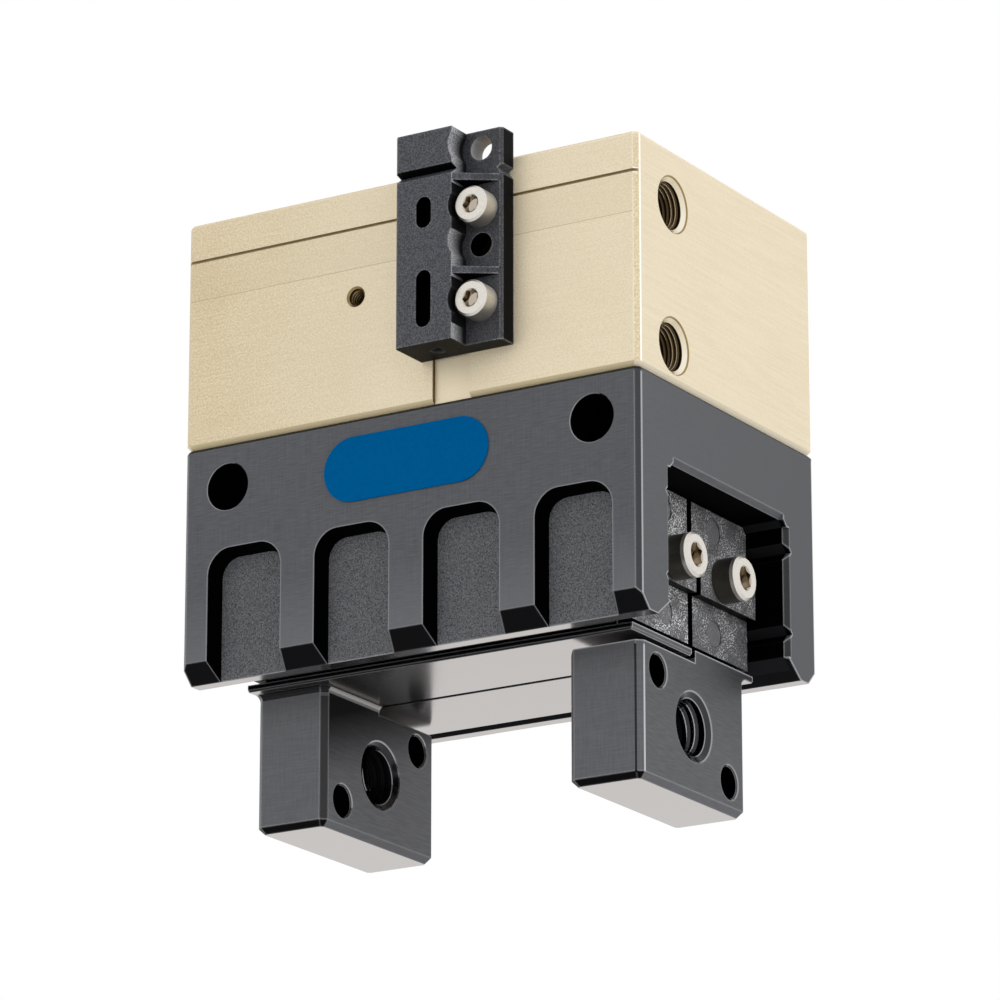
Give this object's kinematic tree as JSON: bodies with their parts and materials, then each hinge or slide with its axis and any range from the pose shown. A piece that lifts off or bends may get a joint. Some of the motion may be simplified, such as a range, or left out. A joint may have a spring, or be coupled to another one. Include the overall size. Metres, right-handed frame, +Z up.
{
  "type": "pneumatic parallel gripper",
  "caption": "Pneumatic parallel gripper: gold cylinder body over a black toothed guide housing, with sliding jaws driven by a piston and wedge hook, and a sensor bracket.",
  "frame": {"origin": "centre of the top mounting face", "axes": "+Z up out of the mounting face, X along the jaws' travel with the air ports at +X, -Y the front with the sensor bracket"},
  "size_m": [0.1, 0.0753, 0.123],
  "materials": {
    "gold_aluminium": "champagne anodised, fine machined grain",
    "bare_aluminium": "turned and milled, plain",
    "seal_rubber": "matt black nitrile",
    "bush_bronze": "plain sintered bronze",
    "magnet_plastic": "plastic-bonded magnet, matt",
    "stainless_steel": "bright stainless",
    "hardened_steel": "ground hardened steel",
    "black_aluminium": "black hard anodised, machined",
    "bracket_plastic": "fine grained black",
    "label_blue": "plain blue film",
    "jaw_steel": "black finished, ground faces",
    "cap_plastic": "rough grained dark grey"
  },
  "bodies": {
    "housing": {"cylinder_body": "gold_aluminium", "cylinder_base": "bare_aluminium", "base_seal": "seal_rubber", "rod_seal": "seal_rubber", "rod_bush": "bush_bronze", "guide_housing": "black_aluminium", "housing_screws": "stainless_steel", "locating_dowels": "hardened_steel", "sensor_bracket": "bracket_plastic", "bracket_screws": "stainless_steel", "bracket_grub_screw": "stainless_steel", "label_plate": "label_blue"},
    "piston": {"piston": "bare_aluminium", "piston_seal": "seal_rubber", "piston_magnet": "magnet_plastic", "piston_screw": "stainless_steel", "wedge_hook": "hardened_steel"},
    "front_jaw": {"front_jaw": "jaw_steel", "front_jaw_cap_left": "cap_plastic", "front_jaw_cap_right": "cap_plastic", "front_jaw_cap_screws": "stainless_steel"},
    "rear_jaw": {"rear_jaw": "jaw_steel", "rear_jaw_cap_left": "cap_plastic", "rear_jaw_cap_right": "cap_plastic", "rear_jaw_cap_screws": "stainless_steel"}
  },
  "joints": [
    {"name": "front_jaw_slide", "type": "slide", "parent": "housing", "child": "front_jaw", "axis": [-1, 0, 0], "range_m": [0, 0.008]},
    {"name": "rear_jaw_slide", "type": "slide", "parent": "housing", "child": "rear_jaw", "axis": [1, 0, 0], "range_m": [0, 0.008]},
    {"name": "piston_slide", "type": "slide", "parent": "housing", "child": "piston", "axis": [0, 0, 1], "range_m": [0, 0.016]}
  ],
  "couplings": [
    {"joint": "rear_jaw_slide", "follows": "front_jaw_slide", "ratio": 1},
    {"joint": "piston_slide", "follows": "front_jaw_slide", "ratio": 2}
  ]
}
